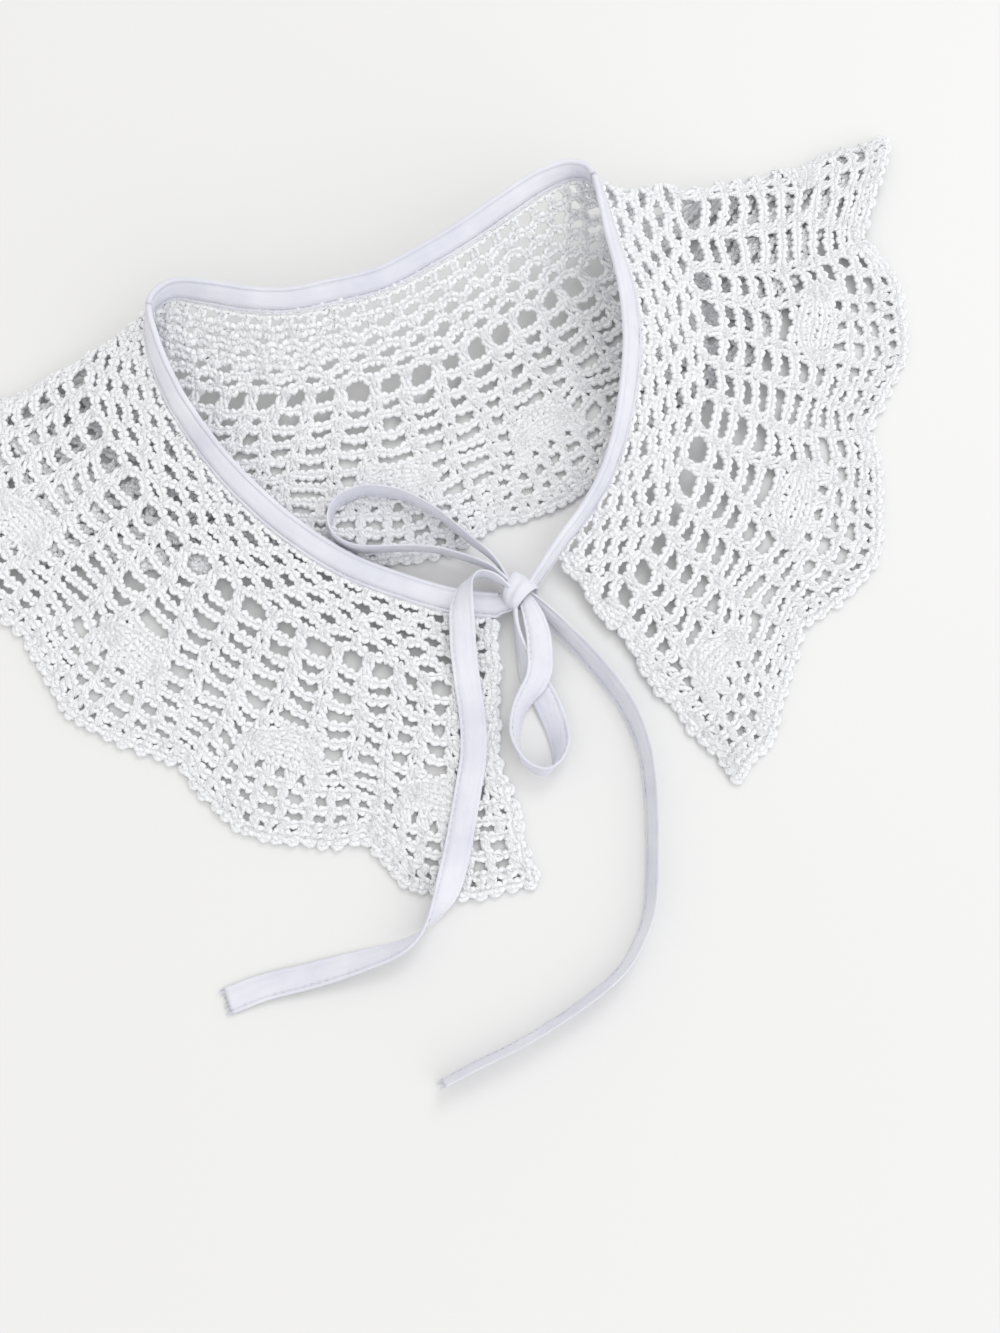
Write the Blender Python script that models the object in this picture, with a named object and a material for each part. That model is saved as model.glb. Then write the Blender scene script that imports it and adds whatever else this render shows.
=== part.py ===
"""Crochet collar bound with cotton tape, laid on a table closed by its bow.

The net is worked in one piece round the neck. It is folded at both shoulders, so that
the back lies underneath and the two fronts lie on top of it, spread outwards. Sizes in
the tables are millimetres, and the model itself is in metres, +Z up, resting on z = 0.
"""
import math
from collections import namedtuple

import bmesh
import bpy
from mathutils import Vector

MM = 0.001

# Driving sizes in millimetres
NET_WALL = 2.0
NET_WALL_IN_TAPE = 1.4
TAPE_WIDTH = 9.4
TAPE_WALL = 1.0
TAPE_SLOT = 2.0
TIE_WALL = 1.2
SEAM_GAP = 0.3
NET_IN_TAPE = 5.0
TAPE_LIP = 1.2

# How the net falls from the neck to the table, as shares of its depth
FRONT_LANDING = 0.85
FRONT_FALL_POWER = 2.0
BACK_LANDING = 0.72
BACK_FALL_POWER = 3.0
LAYER_RISE = 2.5
STEP_OFF_BACK = 0.12

# The rows of the net run evenly near the neck, and take up the scallops of its edge with
# this power of the depth
SCALLOP_ONSET = 3

# Shoulder folds: how far along the neck, in spokes, a layer takes to turn over the fold,
# where the turn gets a station of its own, how square it is, and how far apart, in
# millimetres, the spokes beside a fold are at the neck and at the edge
FOLD_REACH = 0.125
FOLD_STEP = 0.04
FOLD_SQUARENESS = 4
FOLD_PITCH_AT_NECK = 9.0
FOLD_PITCH_AT_EDGE = 32.0

# Spokes of the net, from the left front edge round the back to the right front edge.
# Even rows end in a notch of the scalloped edge and odd rows at the top of a scallop.
# neck is where the tape's sewn edge lies, reach is how far the tape's fold lies inside
# it in plan, and less than 0 where the tape leans outward. edge is the net's outer edge,
# and over_back is the share of the depth that lies on the back's net. sway is how far a
# spoke's middle lies to the right of the straight line from its neck to its edge.
Spoke = namedtuple("Spoke", "name neck_x neck_y neck_z reach edge_x edge_y over_back sway")
SPOKES = [
    Spoke("left front edge", 32, -21, 4.0, 9.0, 47, -119, 0.0, -7),
    Spoke("scallop 1", 15, -19, 4.0, 9.0, 9, -122, 0.0, -3),
    Spoke("notch 1", -5, -13, 4.5, 9.0, -13, -102, 0.0, 0),
    Spoke("scallop 2", -25, -5, 5.5, 8.8, -52, -102, 0.0, 0),
    Spoke("notch 2", -45, 8, 7.0, 8.4, -79, -75, 0.22, 0),
    Spoke("scallop 3", -62, 23, 9.0, 8.0, -118, -59, 0.42, 0),
    Spoke("notch 3", -76, 39, 11.0, 7.4, -138, -27, 0.72, 0),
    Spoke("scallop 4", -90, 60, 14.0, 6.5, -170, -1, 1.1, 0),
    Spoke("notch 4", -98, 80, 17.0, 5.0, -185, 24, 1.3, 0),
    Spoke("left fold", -99, 96, 19.0, 1.5, -190, 51, 1.3, 0),
    Spoke("notch 5", -90, 102, 21.0, -2.5, -176, 20, 0.0, 0),
    Spoke("scallop 5", -77, 99, 22.0, -6.0, -147, 3, 0.0, 0),
    Spoke("notch 6", -61, 95, 23.0, -7.6, -114, 5, 0.0, 0),
    Spoke("scallop 6", -45, 94, 24.0, -7.8, -81, -3, 0.0, 0),
    Spoke("notch 7", -29, 97, 25.0, -7.8, -44, 5, 0.0, 0),
    Spoke("scallop 7", -10, 102, 26.0, -7.6, -4, 0, 0.0, 0),
    Spoke("notch 8", 7, 111, 28.0, -7.6, 33, 18, 0.0, 0),
    Spoke("scallop 8", 22, 121, 29.0, -7.2, 61, 28, 0.0, 0),
    Spoke("notch 9", 37, 132, 31.0, -6.6, 86, 57, 0.0, 0),
    Spoke("scallop 9", 50, 142, 32.0, -5.0, 121, 76, 0.0, 0),
    Spoke("notch 10", 61, 148, 32.0, -1.5, 146, 114, 0.0, 0),
    Spoke("right fold", 70, 145, 31.0, 2.2, 187, 186, 1.3, 0),
    Spoke("notch 11", 77, 123, 27.0, 4.5, 178, 140, 1.0, 0),
    Spoke("scallop 11", 83, 103, 24.0, 6.0, 192, 100, 0.62, 0),
    Spoke("notch 12", 85, 82, 20.0, 6.2, 172, 58, 0.45, 0),
    Spoke("scallop 12", 82, 59, 16.0, 5.2, 174, 8, 0.2, 0),
    Spoke("notch 13", 76, 38, 12.0, 3.5, 143, -23, 0.05, 0),
    Spoke("scallop 13", 67, 21, 9.0, 1.9, 128, -67, 0.0, 0),
    Spoke("right front edge", 54, 4, 6.0, 1.0, 115, -81, 0.0, 0),
]
LEFT_FOLD = 9
RIGHT_FOLD = 21
LAST = len(SPOKES) - 1

# Rows of the net as shares of its depth: the row under the tape is below 0, then each
# open row has a gap and the chain that closes it
GAP_ROWS = [(0.268, 0.327), (0.357, 0.399), (0.427, 0.469), (0.497, 0.539), (0.567, 0.609)]
PLAIN_ROWS = [0.0, 0.13, 0.74, 0.87, 1.0]

# Gaps across a scallop, half a gap's width in spokes, and how near a panel's end the
# middle of a gap may come
COLUMNS_PER_SCALLOP = 4
GAP_HALF_WIDTH = 0.125
GAP_MARGIN = 0.25

# Steps over which the slopes along the neck, the tape and the net are taken
NECK_STEP = 0.15
TAPE_STEP = 0.05
NET_STEP = 0.01

# Runs of tape past the net's front edges, up to the knot: sewn edge, then fold edge
TapeEnd = namedtuple("TapeEnd", "edge_x edge_y edge_z fold_x fold_y fold_z")
LEFT_TAPE_END = [TapeEnd(33.4, -19.8, 4.8, 32.6, -12.4, 6.8)]
RIGHT_TAPE_END = [
    TapeEnd(50.6, -1.6, 5.4, 49.6, -0.9, 14.2),
    TapeEnd(47.0, -7.0, 4.8, 46.0, -6.3, 13.0),
]

KNOT_CENTRE = (39.8, -12.6, 8.0)
KNOT_SIZE = (13.6, 9.6, 8.4)
KNOT_WAIST = 0.12
KNOT_TURN = 51
KNOT_SEGMENTS = 14
KNOT_RINGS = 8

# Stations of the ties: middle of the tape, its width and its tilt from flat in degrees
Tie = namedtuple("Tie", "x y z width tilt")
BOW_LOOP_LEFT = [
    Tie(36.2, -7.4, 8.6, 5.0, 80), Tie(30.6, 1.0, 8.4, 7.6, 84), Tie(21, 9.5, 8.0, 9.2, 86),
    Tie(9, 20, 7.8, 9.4, 88), Tie(-4, 27, 7.6, 9.4, 90), Tie(-17, 28.5, 7.6, 9.4, 90),
    Tie(-26.5, 24.5, 7.6, 9.4, 90), Tie(-30, 16, 7.6, 9.4, 90), Tie(-26.5, 8.5, 7.8, 9.4, 92),
    Tie(-18, 4.8, 8.0, 9.4, 97), Tie(-5, 5.0, 8.2, 9.4, 100), Tie(8, 4.5, 8.6, 9.2, 100),
    Tie(20, 1.0, 9.2, 8.4, 98), Tie(28.8, -2.9, 9.8, 6.6, 94), Tie(33.2, -6.3, 9.8, 5.0, 90),
]
BOW_LOOP_DOWN = [
    Tie(43.1, -17.5, 9.2, 6.0, 8), Tie(45.2, -22.8, 9.0, 7.8, 0), Tie(46.7, -28.9, 8.8, 8.8, -4),
    Tie(47.2, -35.7, 8.8, 9.2, -8), Tie(47.2, -41.3, 8.6, 9.4, -18), Tie(45.7, -46.7, 7.8, 9.4, -36),
    Tie(42.6, -51.1, 6.4, 9.4, -55), Tie(39.9, -55.9, 5.2, 9.4, -62), Tie(38.6, -61.8, 5.0, 9.4, -64),
    Tie(38.6, -67.7, 5.2, 9.4, -72), Tie(40.5, -73.6, 5.4, 9.4, -84), Tie(44.2, -77.7, 5.4, 9.4, -90),
    Tie(49.0, -79.1, 5.4, 9.4, -90), Tie(52.9, -75.8, 5.2, 9.4, -74), Tie(54.2, -69.3, 4.4, 9.4, -48),
    Tie(53.3, -62.9, 3.8, 9.4, -36), Tie(51.1, -56.3, 3.2, 9.4, -24), Tie(48.5, -50.2, 2.8, 9.4, -16),
    Tie(44.8, -44.2, 3.3, 9.4, -30), Tie(41.9, -37.7, 4.5, 9.0, -55), Tie(40.0, -30.8, 5.2, 8.2, -74),
    Tie(38.8, -24.2, 5.8, 7.0, -84), Tie(38.6, -18.3, 6.6, 5.5, -88),
]
TAIL_LEFT = [
    Tie(35.9, -10.9, 10.4, 5.0, 80), Tie(32.9, -9.0, 11.6, 6.8, 86), Tie(29.0, -7.8, 12.8, 8.6, 88),
    Tie(24.9, -7.8, 13.6, 9.2, 82), Tie(21.8, -10.4, 14.0, 9.4, 66), Tie(20.2, -14.8, 13.6, 9.4, 46),
    Tie(19.4, -20.5, 12.4, 9.4, 24), Tie(19.6, -27.3, 10.2, 9.4, 10), Tie(20.0, -34.4, 7.8, 9.4, 0),
    Tie(21.3, -45.1, 5.6, 9.4, 0), Tie(23.4, -60, 4.0, 9.4, 0), Tie(23.7, -72, 3.7, 9.4, 0),
    Tie(22.1, -84, 3.5, 9.4, 0), Tie(18.4, -106.6, 4.0, 9.4, 0), Tie(15.7, -118.9, 6.4, 9.4, -22),
    Tie(13.0, -125.8, 6.7, 9.4, -55), Tie(9.0, -132.5, 5.8, 9.4, -88), Tie(3.4, -137.9, 5.3, 9.4, -118),
    Tie(-3.3, -141.5, 4.6, 9.4, -135), Tie(-12.4, -144.3, 3.7, 9.4, -148),
    Tie(-22.5, -147.2, 2.8, 9.4, -160), Tie(-32.5, -149.8, 2.0, 9.4, -168),
    Tie(-45.9, -153.0, 1.3, 9.4, -174), Tie(-58.1, -157.6, 0.8, 9.4, -180),
]
TAIL_RIGHT = [
    Tie(44.3, -14.1, 6.3, 5.0, 50), Tie(54.0, -23.5, 4.8, 7.4, 54), Tie(66, -37, 4.8, 8.6, 58),
    Tie(77, -52.5, 5.0, 9.4, 62), Tie(83.5, -69, 5.1, 9.4, 66), Tie(85.5, -87, 5.1, 9.4, 68),
    Tie(85.5, -107, 5.1, 9.4, 68), Tie(84.0, -126, 5.1, 9.4, 68), Tie(80.0, -138, 5.1, 9.4, 68),
    Tie(73.0, -149, 5.1, 9.4, 68), Tie(59.5, -160, 5.1, 9.4, 68), Tie(42, -171, 5.1, 9.4, 68),
    Tie(25, -179.5, 5.1, 9.4, 68), Tie(14.5, -185, 5.1, 9.4, 68),
]
TIE_STEPS = 3

# Middle of the whole footprint in the tables above, which becomes the origin
FOOTPRINT_MIDDLE = Vector((0.77, 0.06, 0.0))

COTTON_WHITE = (0.86, 0.865, 0.87, 1.0)
TAPE_WHITE = (0.85, 0.855, 0.88, 1.0)
NET_ROUGHNESS = 0.92
TAPE_ROUGHNESS = 0.8


def lerp(a, b, t):
    return a + (b - a) * t


def smooth(t):
    t = min(max(t, 0.0), 1.0)
    return t * t * (3 - 2 * t)


def through(rows, u):
    """Point at u on the smooth curve through rows of numbers (Catmull-Rom)."""
    last = len(rows) - 1
    i = min(max(int(math.floor(u)), 0), last - 1)
    t = u - i
    here, there = rows[i], rows[i + 1]
    before = rows[i - 1] if i > 0 else [2 * a - b for a, b in zip(here, there)]
    after = rows[i + 2] if i + 2 <= last else [2 * b - a for a, b in zip(here, there)]
    point = []
    for a, b, c, d in zip(before, here, there, after):
        bend = (2 * a - 5 * b + 4 * c - d) * t + (3 * b - a - 3 * c + d) * t * t
        point.append(b + 0.5 * t * (c - a + bend))
    return point


def arc_through(rows, u):
    """Point at u on the arc from notch to notch through a scallop's top."""
    i = min(int(u // 2) * 2, LAST - 2)
    t = u - i
    low, top, high = rows[i], rows[i + 1], rows[i + 2]
    return [a * (t - 1) * (t - 2) / 2 - b * t * (t - 2) + c * t * (t - 1) / 2
            for a, b, c in zip(low, top, high)]


NECK_ROWS = [(s.neck_x, s.neck_y, s.neck_z) for s in SPOKES]
EDGE_ROWS = [(s.edge_x, s.edge_y) for s in SPOKES]
REACH_ROWS = [(s.reach,) for s in SPOKES]
OVER_ROWS = [s.over_back for s in SPOKES]
SWAY_ROWS = [s.sway for s in SPOKES]


def evened(rows):
    """Rows averaged with their neighbours, apart from those at the ends and the folds."""
    calm = list(rows)
    for i in range(1, LAST):
        if i not in (LEFT_FOLD, RIGHT_FOLD):
            calm[i] = tuple((a + 2 * b + c) / 4 for a, b, c in zip(*rows[i - 1:i + 2]))
    return calm


EVENED_ROWS = evened(EDGE_ROWS)


def neck_point(u):
    return Vector(through(NECK_ROWS, u))


def inward(u):
    """Level direction from the neck's sewn edge to the inside of the ring."""
    along = neck_point(u + NECK_STEP) - neck_point(u - NECK_STEP)
    return Vector((-along.y, along.x, 0)).normalized() * -1


def tape_direction(u):
    """Direction across the tape, from its sewn edge to its fold."""
    reach = through(REACH_ROWS, u)[0]
    rise = math.sqrt(max(TAPE_WIDTH ** 2 - reach ** 2, 0.0))
    return (inward(u) * reach + Vector((0, 0, rise))).normalized()


def is_back(u):
    return LEFT_FOLD < u < RIGHT_FOLD


def between(values, u):
    i = min(int(u), LAST - 1)
    return lerp(values[i], values[i + 1], u - i)


def layer_height(u, v, back):
    """Height of the net's middle in the back's layer or in the fronts' layer."""
    neck = neck_point(u).z
    landing = BACK_LANDING if back else FRONT_LANDING
    power = BACK_FALL_POWER if back else FRONT_FALL_POWER
    fall = max(0.0, 1 - v / landing) ** power
    rest = NET_WALL / 2
    height = rest + (neck - rest) * fall
    if not back:
        lift = LAYER_RISE * smooth((between(OVER_ROWS, u) + STEP_OFF_BACK - v) / STEP_OFF_BACK)
        height = max(height, rest + lift)
    return height


def net_point(u, v):
    """Middle of the net: u counts spokes, v runs from the neck, 0, to the edge, 1."""
    neck = neck_point(u)
    if v < 0:
        return neck - tape_direction(u) * (NET_IN_TAPE * v)
    calm = Vector(through(EVENED_ROWS, u))
    scalloped = Vector(arc_through(EDGE_ROWS, u))
    edge = calm.lerp(scalloped, v ** SCALLOP_ONSET)
    level = neck.xy.lerp(edge, v)
    sway = between(SWAY_ROWS, u) * math.sin(math.pi * v)
    point = Vector((level.x + sway, level.y, layer_height(u, v, is_back(u))))
    for fold in (LEFT_FOLD, RIGHT_FOLD):
        share = abs(u - fold) / FOLD_REACH
        if share < 1:
            middle = (layer_height(fold, v, False) + layer_height(fold, v, True)) / 2
            turned = (1 - (1 - share) ** FOLD_SQUARENESS) ** (1 / FOLD_SQUARENESS)
            point.z = lerp(middle, point.z, turned)
    return point


def down_the_net(u, v):
    """Direction from the neck to the edge, halved over the bend at the tape's edge."""
    if v < 0:
        return -tape_direction(u)
    near, far = max(v - NET_STEP, 0), min(v + NET_STEP, 1)
    outward = (net_point(u, far) - net_point(u, near)).normalized()
    return outward - tape_direction(u) if v == 0 else outward


def net_normal(u, v):
    along = net_point(min(u + NET_STEP, LAST), v) - net_point(max(u - NET_STEP, 0), v)
    return down_the_net(u, v).cross(along).normalized()


def add_object(name, mesh, colour, roughness):
    material = bpy.data.materials.new(name + "_cotton")
    material.use_nodes = True
    shader = material.node_tree.nodes["Principled BSDF"]
    shader.inputs["Base Color"].default_value = colour
    shader.inputs["Roughness"].default_value = roughness
    shader.inputs["Metallic"].default_value = 0.0
    mesh.materials.append(material)
    item = bpy.data.objects.new(name, mesh)
    bpy.context.scene.collection.objects.link(item)
    return item


def mesh_from(name, points, faces):
    mesh = bpy.data.meshes.new(name)
    mesh.from_pydata([tuple((p - FOOTPRINT_MIDDLE) * MM) for p in points], [], faces)
    mesh.validate()
    shape = bmesh.new()
    shape.from_mesh(mesh)
    bmesh.ops.remove_doubles(shape, verts=shape.verts, dist=1e-6)
    bmesh.ops.recalc_face_normals(shape, faces=shape.faces)
    shape.to_mesh(mesh)
    shape.free()
    return mesh


def wall(name, outer, inner, kept, colour, roughness):
    """Closed wall between two grids of points, open where a cell isn't kept."""
    rows, columns = len(outer), len(outer[0])
    points = [p for row in outer for p in row] + [p for row in inner for p in row]
    half = rows * columns

    def at(r, c, layer):
        return layer * half + r * columns + c

    def solid(r, c):
        return 0 <= r < rows - 1 and 0 <= c < columns - 1 and kept(r, c)

    faces = []
    for r in range(rows - 1):
        for c in range(columns - 1):
            if not solid(r, c):
                continue
            ring = [(r, c), (r, c + 1), (r + 1, c + 1), (r + 1, c)]
            faces.append([at(*q, 0) for q in ring])
            faces.append([at(*q, 1) for q in reversed(ring)])
            beside = [(r - 1, c), (r, c + 1), (r + 1, c), (r, c - 1)]
            for k, neighbour in enumerate(beside):
                if not solid(*neighbour):
                    a, b = ring[k], ring[(k + 1) % 4]
                    faces.append([at(*b, 0), at(*a, 0), at(*a, 1), at(*b, 1)])
    used = sorted({i for face in faces for i in face})
    index = {old: new for new, old in enumerate(used)}
    mesh = mesh_from(name, [points[i] for i in used], [[index[i] for i in f] for f in faces])
    return add_object(name, mesh, colour, roughness)


def panel_columns(first, last):
    """Stations along the neck: both sides of each gap, each notch and each fold's turn."""
    pitch = 2 / COLUMNS_PER_SCALLOP
    stations = {float(u) for u in range(0, LAST + 1, 2)}
    for k in range(round(LAST / pitch) + 1):
        stations |= {k * pitch - GAP_HALF_WIDTH, k * pitch + GAP_HALF_WIDTH}
    for fold in (LEFT_FOLD, RIGHT_FOLD):
        stations |= {float(fold), fold - FOLD_STEP, fold + FOLD_STEP}
    return sorted(u for u in stations if first <= u <= last)


def panel_end(u, v, first, last):
    """Holds a panel's end half a seam gap short of the fold."""
    half_gap = SEAM_GAP / 2 / lerp(FOLD_PITCH_AT_NECK, FOLD_PITCH_AT_EDGE, max(v, 0))
    if u == first and first != 0:
        return u + half_gap
    if u == last and last != LAST:
        return u - half_gap
    return u


def net_panel(name, first, last):
    columns = panel_columns(first, last)
    rows = sorted({-1.0, *PLAIN_ROWS, *(v for pair in GAP_ROWS for v in pair)})
    upper, under = [], []
    for v in rows:
        thickness = NET_WALL_IN_TAPE if v <= 0 else NET_WALL
        top_row, low_row = [], []
        for u in columns:
            u = panel_end(u, v, first, last)
            middle = net_point(u, v)
            offset = net_normal(u, v) * (thickness / 2)
            top_row.append(middle + offset)
            low_row.append(middle - offset)
        upper.append(top_row)
        under.append(low_row)

    def kept(r, c):
        if (rows[r], rows[r + 1]) not in GAP_ROWS:
            return True
        middle = (columns[c] + columns[c + 1]) / 2
        gap = round(middle * COLUMNS_PER_SCALLOP / 2) * 2 / COLUMNS_PER_SCALLOP
        if gap - first < GAP_MARGIN or last - gap < GAP_MARGIN:
            return True
        return abs(middle - gap) > GAP_HALF_WIDTH

    return wall(name, upper, under, kept, COTTON_WHITE, NET_ROUGHNESS)


def binding(name, first, last, lead_in, lead_out):
    """Tape folded over the neck edge: a channel whose slot holds the net."""
    half_out = TAPE_SLOT / 2 + TAPE_WALL
    half_in = TAPE_SLOT / 2
    floor = TAPE_WIDTH - TAPE_WALL
    profile = [(TAPE_LIP, half_out), (TAPE_WIDTH, half_out), (TAPE_WIDTH, -half_out),
               (TAPE_LIP, -half_out), (TAPE_LIP, -half_in), (floor, -half_in),
               (floor, half_in), (TAPE_LIP, half_in)]
    bends = [u for u in panel_columns(first, last) if u % 2 or u in (first, last)]
    stations = [*lead_in, *(panel_end(u, 0, first, last) for u in bends), *lead_out]

    def frame(station):
        if isinstance(station, TapeEnd):
            edge = Vector((station.edge_x, station.edge_y, station.edge_z))
            fold = Vector((station.fold_x, station.fold_y, station.fold_z))
            return edge, fold - edge
        return neck_point(station), tape_direction(station) * TAPE_WIDTH

    frames = [frame(s) for s in stations]
    rings = []
    for k, (edge, across) in enumerate(frames):
        ahead = frames[min(k + 1, len(frames) - 1)][0]
        behind = frames[max(k - 1, 0)][0]
        station = stations[k]
        if isinstance(station, TapeEnd):
            along = ahead - behind
        else:
            along = neck_point(station + TAPE_STEP) - neck_point(station - TAPE_STEP)
        normal = along.cross(across).normalized()
        scale = across.length / TAPE_WIDTH
        direction = across.normalized()
        rings.append([edge + direction * (b * scale) + normal * n for b, n in profile])
    sides = len(profile)
    faces = []
    for k in range(len(rings) - 1):
        for j in range(sides):
            n = (j + 1) % sides
            faces.append([k * sides + j, k * sides + n, (k + 1) * sides + n, (k + 1) * sides + j])
    faces.append(list(range(sides)))
    faces.append([(len(rings) - 1) * sides + j for j in range(sides)])
    mesh = mesh_from(name, [p for ring in rings for p in ring], faces)
    return add_object(name, mesh, TAPE_WHITE, TAPE_ROUGHNESS)


def ribbon(name, stations):
    """A run of tie tape: a strip swept along its stations."""
    rows = [tuple(s) for s in stations]
    count = (len(rows) - 1) * TIE_STEPS
    samples = [through(rows, k / TIE_STEPS) for k in range(count + 1)]
    upper, under = [], []
    for k, (x, y, z, width, tilt) in enumerate(samples):
        ahead = Vector(samples[min(k + 1, count)][:3])
        behind = Vector(samples[max(k - 1, 0)][:3])
        along = (ahead - behind).normalized()
        side = Vector((-along.y, along.x, 0)).normalized()
        lean = math.radians(tilt)
        across = side * math.cos(lean) + Vector((0, 0, 1)) * math.sin(lean)
        face = along.cross(across).normalized()
        across = face.cross(along).normalized()
        middle = Vector((x, y, z))
        half = across * (width / 2)
        skin = face * (TIE_WALL / 2)
        upper.append([middle - half + skin, middle + half + skin])
        under.append([middle - half - skin, middle + half - skin])
    return wall(name, upper, under, lambda r, c: True, TAPE_WHITE, TAPE_ROUGHNESS)


def knot(name):
    shape = bmesh.new()
    bmesh.ops.create_uvsphere(shape, u_segments=KNOT_SEGMENTS, v_segments=KNOT_RINGS, radius=1.0)
    for vert in shape.verts:
        waist = 1 - KNOT_WAIST * math.cos(vert.co.x * math.pi) ** 2
        vert.co.x *= KNOT_SIZE[0] / 2 * MM
        vert.co.y *= KNOT_SIZE[1] / 2 * waist * MM
        vert.co.z *= KNOT_SIZE[2] / 2 * waist * MM
    mesh = bpy.data.meshes.new(name)
    shape.to_mesh(mesh)
    shape.free()
    item = add_object(name, mesh, TAPE_WHITE, TAPE_ROUGHNESS)
    item.location = (Vector(KNOT_CENTRE) - FOOTPRINT_MIDDLE) * MM
    item.rotation_euler = (0, 0, math.radians(KNOT_TURN))
    return item


def build():
    for item in list(bpy.data.objects):
        bpy.data.objects.remove(item, do_unlink=True)
    net_panel("front_left_panel", 0, LEFT_FOLD)
    net_panel("back_panel", LEFT_FOLD, RIGHT_FOLD)
    net_panel("front_right_panel", RIGHT_FOLD, LAST)
    binding("neck_binding_left", 0, LEFT_FOLD, LEFT_TAPE_END, [])
    binding("neck_binding_back", LEFT_FOLD, RIGHT_FOLD, [], [])
    binding("neck_binding_right", RIGHT_FOLD, LAST, [], RIGHT_TAPE_END)
    knot("bow_knot")
    ribbon("bow_loop_left", BOW_LOOP_LEFT)
    ribbon("bow_loop_down", BOW_LOOP_DOWN)
    ribbon("tie_tail_left", TAIL_LEFT)
    ribbon("tie_tail_right", TAIL_RIGHT)


build()
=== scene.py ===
"""Looks of the crochet collar: yarn-level net, bias tape binding and its tied bow.

Sizes are millimetres in the tables and functions, and become metres when a mesh is
made. The net is a surface with u counting spokes along the neck and v running from the
tape, 0, to the outer edge, 1. Stitches are laid out in u and v and then put on it.
"""
import math

import bmesh
import bpy
import numpy as np
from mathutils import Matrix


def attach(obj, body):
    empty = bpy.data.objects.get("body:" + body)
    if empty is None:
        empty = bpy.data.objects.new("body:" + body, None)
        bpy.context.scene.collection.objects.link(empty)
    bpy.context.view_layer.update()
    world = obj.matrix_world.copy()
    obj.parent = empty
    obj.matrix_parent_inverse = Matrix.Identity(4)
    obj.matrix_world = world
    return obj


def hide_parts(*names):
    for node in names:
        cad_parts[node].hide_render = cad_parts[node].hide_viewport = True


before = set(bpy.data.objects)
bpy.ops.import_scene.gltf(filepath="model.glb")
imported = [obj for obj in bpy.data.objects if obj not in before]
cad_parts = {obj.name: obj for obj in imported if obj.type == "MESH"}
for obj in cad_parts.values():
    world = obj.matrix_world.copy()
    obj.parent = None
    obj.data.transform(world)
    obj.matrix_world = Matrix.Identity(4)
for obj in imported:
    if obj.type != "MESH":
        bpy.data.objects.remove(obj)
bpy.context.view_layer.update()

MM = 0.001
UP = np.array([0.0, 0.0, 1.0])

# Random draws, and the full turn from which a random phase is drawn
RNG = np.random.default_rng(11)
ANY_PHASE = 6.28

# Middle of the footprint in the tables below, which is the frame's origin
FOOTPRINT_MIDDLE = np.array([0.77, 0.06, 0.0])

# How the net falls from the neck to the table. Landings and the step off the back are
# shares of its depth. The height of its middle where it lies flat, how far unevenness
# may press that down, and the rise onto the back are millimetres. The reach, stub and
# gap of a fold and the hem of a front edge are spokes.
NET_MIDDLE = 1.35
MOST_PRESSED = 0.1
FRONT_LANDING = 0.85
FRONT_FALL_POWER = 2.0
BACK_LANDING = 0.72
BACK_FALL_POWER = 3.0
LAYER_RISE = 2.5
STEP_OFF_BACK = 0.12
FOLD_REACH = 0.125
FOLD_SQUARENESS = 4
FOLD_STUB = 0.025
FOLD_GAP = 0.005
FRONT_HEM = 0.06
FRONT_BORDER = 0.12

# Spokes of the net, from the left front edge round the back to the right front edge:
# neck_x neck_y neck_z reach edge_x edge_y over_back sway. Reach is how far the tape leans
# into the ring, less than 0 where it leans outward. Over_back is the share of the depth
# that lies on the back, and sway bends the spoke's middle sideways.
SPOKES = np.array([
    (32, -21, 4.0, 9.0, 47, -119, 0.0, -7),
    (15, -19, 4.0, 9.0, 9, -122, 0.0, -3),
    (-5, -13, 4.5, 9.0, -13, -102, 0.0, 0),
    (-25, -5, 5.5, 8.8, -52, -102, 0.0, 0),
    (-45, 8, 7.0, 8.4, -79, -75, 0.22, 0),
    (-62, 23, 9.0, 8.0, -118, -59, 0.42, 0),
    (-76, 39, 11.0, 7.4, -138, -27, 0.72, 0),
    (-90, 60, 14.0, 6.5, -170, -1, 1.1, 0),
    (-98, 80, 17.0, 5.0, -185, 24, 1.3, 0),
    (-99, 96, 19.0, 1.5, -190, 51, 1.3, 0),
    (-90, 102, 21.0, -2.5, -176, 20, 0.0, 0),
    (-77, 99, 22.0, -6.0, -147, 3, 0.0, 0),
    (-61, 95, 23.0, -7.6, -114, 5, 0.0, 0),
    (-45, 94, 24.0, -7.8, -81, -3, 0.0, 0),
    (-29, 97, 25.0, -7.8, -44, 5, 0.0, 0),
    (-10, 102, 26.0, -7.6, -4, 0, 0.0, 0),
    (7, 111, 28.0, -7.6, 33, 18, 0.0, 0),
    (22, 121, 29.0, -7.2, 61, 28, 0.0, 0),
    (37, 132, 31.0, -6.6, 86, 57, 0.0, 0),
    (50, 142, 32.0, -5.0, 121, 76, 0.0, 0),
    (61, 148, 32.0, -1.5, 146, 114, 0.0, 0),
    (70, 145, 31.0, 2.2, 187, 186, 1.3, 0),
    (77, 123, 27.0, 4.5, 178, 140, 1.0, 0),
    (83, 103, 24.0, 6.0, 192, 100, 0.62, 0),
    (85, 82, 20.0, 6.2, 172, 58, 0.45, 0),
    (82, 59, 16.0, 5.2, 174, 8, 0.2, 0),
    (76, 38, 12.0, 3.5, 143, -23, 0.05, 0),
    (67, 21, 9.0, 1.9, 128, -67, 0.0, 0),
    (54, 4, 6.0, 1.0, 115, -81, 0.0, 0),
], dtype=float)
NECK, REACH, EDGE = SPOKES[:, 0:3], SPOKES[:, 3:4], SPOKES[:, 4:6]
OVER_BACK, SWAY = SPOKES[:, 6], SPOKES[:, 7]
LEFT_FOLD = 9
RIGHT_FOLD = 21
LAST = len(SPOKES) - 1

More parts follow.
